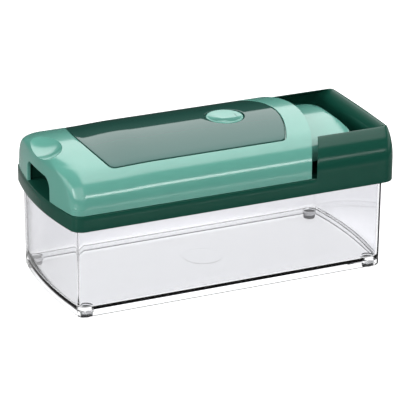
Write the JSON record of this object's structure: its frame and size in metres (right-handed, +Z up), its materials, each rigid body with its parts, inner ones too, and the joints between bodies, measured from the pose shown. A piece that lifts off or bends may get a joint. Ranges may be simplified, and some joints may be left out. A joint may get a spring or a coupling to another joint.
{
  "type": "vegetable dicer",
  "caption": "Long clear container under a dark green cutting frame with blade lattices, and a hinged mint pressing lid with a release button.",
  "frame": {"origin": "middle of the bounding box in plan, at the underside of the feet", "axes": "+X along the length towards the hinge housing, -X towards the lid's free end, +Z up, -Y towards the viewer of the picture"},
  "size_m": [0.268, 0.119, 0.1164],
  "materials": {
    "mint_plastic": "glossy moulded ABS, mint green",
    "dark_green_plastic": "glossy moulded ABS, dark green",
    "dark_green_gloss": "polished, dark green",
    "pale_green_plastic": "satin moulded, pale green",
    "clear_plastic": "clear, polished moulded SAN",
    "steel": "ground stainless steel",
    "black_rubber": "soft black rubber"
  },
  "bodies": {
    "container": {"container_tub": "clear_plastic", "foot_front_left": "black_rubber", "foot_front_right": "black_rubber", "foot_back_left": "black_rubber", "foot_back_right": "black_rubber"},
    "cutting_frame": {"cutting_frame": "dark_green_plastic", "hinge_pin": "steel", "blade_insert_frame": "pale_green_plastic", "blades_coarse_upper": "steel", "blades_coarse_lower": "steel", "blades_fine_upper": "steel", "blades_fine_lower": "steel"},
    "lid": {"lid_shell": "mint_plastic", "cover_panel": "dark_green_gloss", "lid_carrier": "mint_plastic", "finger_pocket": "dark_green_plastic", "lid_screw_1": "steel", "lid_screw_2": "steel", "lid_screw_3": "steel", "lid_screw_4": "steel", "pusher_insert": "pale_green_plastic", "button_guide": "dark_green_plastic", "button_spring": "steel"},
    "cleaning_grid": {"cleaning_grid": "pale_green_plastic"},
    "release_button": {"release_button": "mint_plastic"},
    "latch_slider": {"latch_slider": "dark_green_plastic"}
  },
  "joints": [
    {"name": "frame_lift", "type": "slide", "parent": "container", "child": "cutting_frame", "axis": [0, 0, 1], "range_m": [0, 0.04]},
    {"name": "lid_hinge", "type": "hinge", "parent": "cutting_frame", "child": "lid", "pos_m": [0.094, 0, 0.0932], "axis": [0, 1, 0], "range_deg": [0, 95]},
    {"name": "button_press", "type": "slide", "parent": "lid", "child": "release_button", "axis": [0, 0, -1], "range_m": [0, 0.003], "stiffness_N_per_m": 400, "springref_m": -0.004, "deforming": ["button_spring"]},
    {"name": "latch_slide", "type": "slide", "parent": "lid", "child": "latch_slider", "axis": [1, 0, 0], "range_m": [0, 0.003]},
    {"name": "cleaning_grid_slide", "type": "slide", "parent": "lid", "child": "cleaning_grid", "axis": [0, 0, -1], "range_m": [0, 0.006]}
  ],
  "couplings": [
    {"joint": "latch_slide", "follows": "button_press", "ratio": 1}
  ]
}
